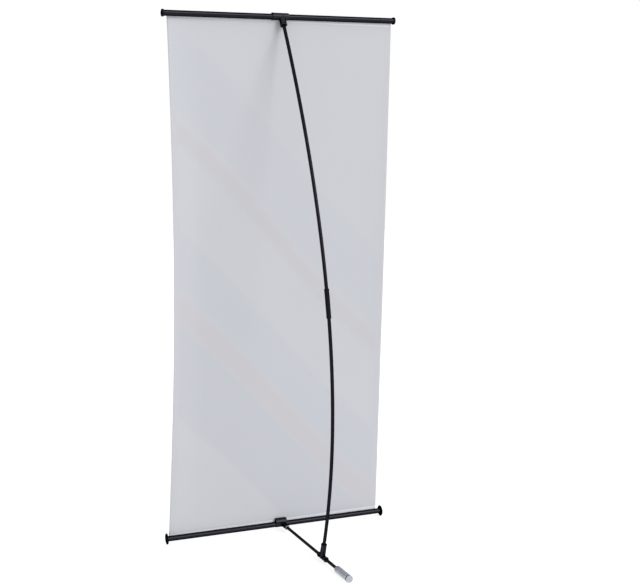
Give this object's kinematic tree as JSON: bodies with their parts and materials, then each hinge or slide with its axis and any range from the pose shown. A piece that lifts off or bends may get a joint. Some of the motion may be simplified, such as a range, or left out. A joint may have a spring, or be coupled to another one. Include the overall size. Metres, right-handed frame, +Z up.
{
  "type": "l-banner stand",
  "caption": "Free-standing L-banner stand: printed film between two slotted rails, held up by a bowed pole and a telescoping leg with a weighted end.",
  "frame": {"origin": "centre of the stand's footprint on the floor", "axes": "X along the rails, Y towards the banner's printed front, Z up"},
  "size_m": [0.8316, 0.5852, 1.7991],
  "materials": {
    "black_coat": "satin black coat with a lengthwise grain",
    "black_plastic": "moulded, fine matt",
    "glass_fibre": "satin black rod",
    "film": "matt white film, printed on the front",
    "hem_rod": "extruded grey",
    "steel": "bright drawn",
    "clear_plastic": "translucent"
  },
  "bodies": {
    "banner": {"top_rail": "black_coat", "top_hem_rod": "hem_rod", "top_cap_left": "black_plastic", "top_cap_right": "black_plastic", "banner_sheet": "film", "bottom_rail": "black_coat", "bottom_hem_rod": "hem_rod", "bottom_cap_left": "black_plastic", "bottom_cap_right": "black_plastic"},
    "leg": {"bottom_tee": "black_plastic", "leg_lock_screw": "steel", "leg_stop_ring": "steel", "leg_tube": "black_coat"},
    "foot": {"foot_tee": "black_plastic", "foot_lock_screw": "steel", "leg_rod": "black_coat"},
    "weight": {"weight_body": "steel", "weight_end_cap": "clear_plastic"},
    "pole": {"top_tee": "black_plastic", "pole_upper": "glass_fibre", "ferrule": "black_plastic", "pole_lower": "glass_fibre", "pole_cap_upper": "black_plastic", "pole_cap_lower": "black_plastic"}
  },
  "joints": [
    {"name": "leg_hinge", "type": "hinge", "parent": "banner", "child": "leg", "pos_m": [0, 0.27346, 0.01916], "axis": [1, 0, 0], "range_deg": [-2, 0.5]},
    {"name": "pole_swing", "type": "hinge", "parent": "banner", "child": "pole", "pos_m": [0, 0.19634, 1.78548], "axis": [1, 0, 0], "range_deg": [-2.6, 0.7]},
    {"name": "foot_slide", "type": "slide", "parent": "leg", "child": "foot", "axis": [0, -0.9999, -0.013], "range_m": [-0.02, 0.078]},
    {"name": "weight_slide", "type": "slide", "parent": "foot", "child": "weight", "axis": [0, -0.9999, -0.013], "range_m": [0, 0.1]}
  ],
  "couplings": [
    {"joint": "pole_swing", "follows": "leg_hinge", "ratio": 1.254},
    {"joint": "foot_slide", "follows": "leg_hinge", "m_per_rad": -2.216}
  ]
}
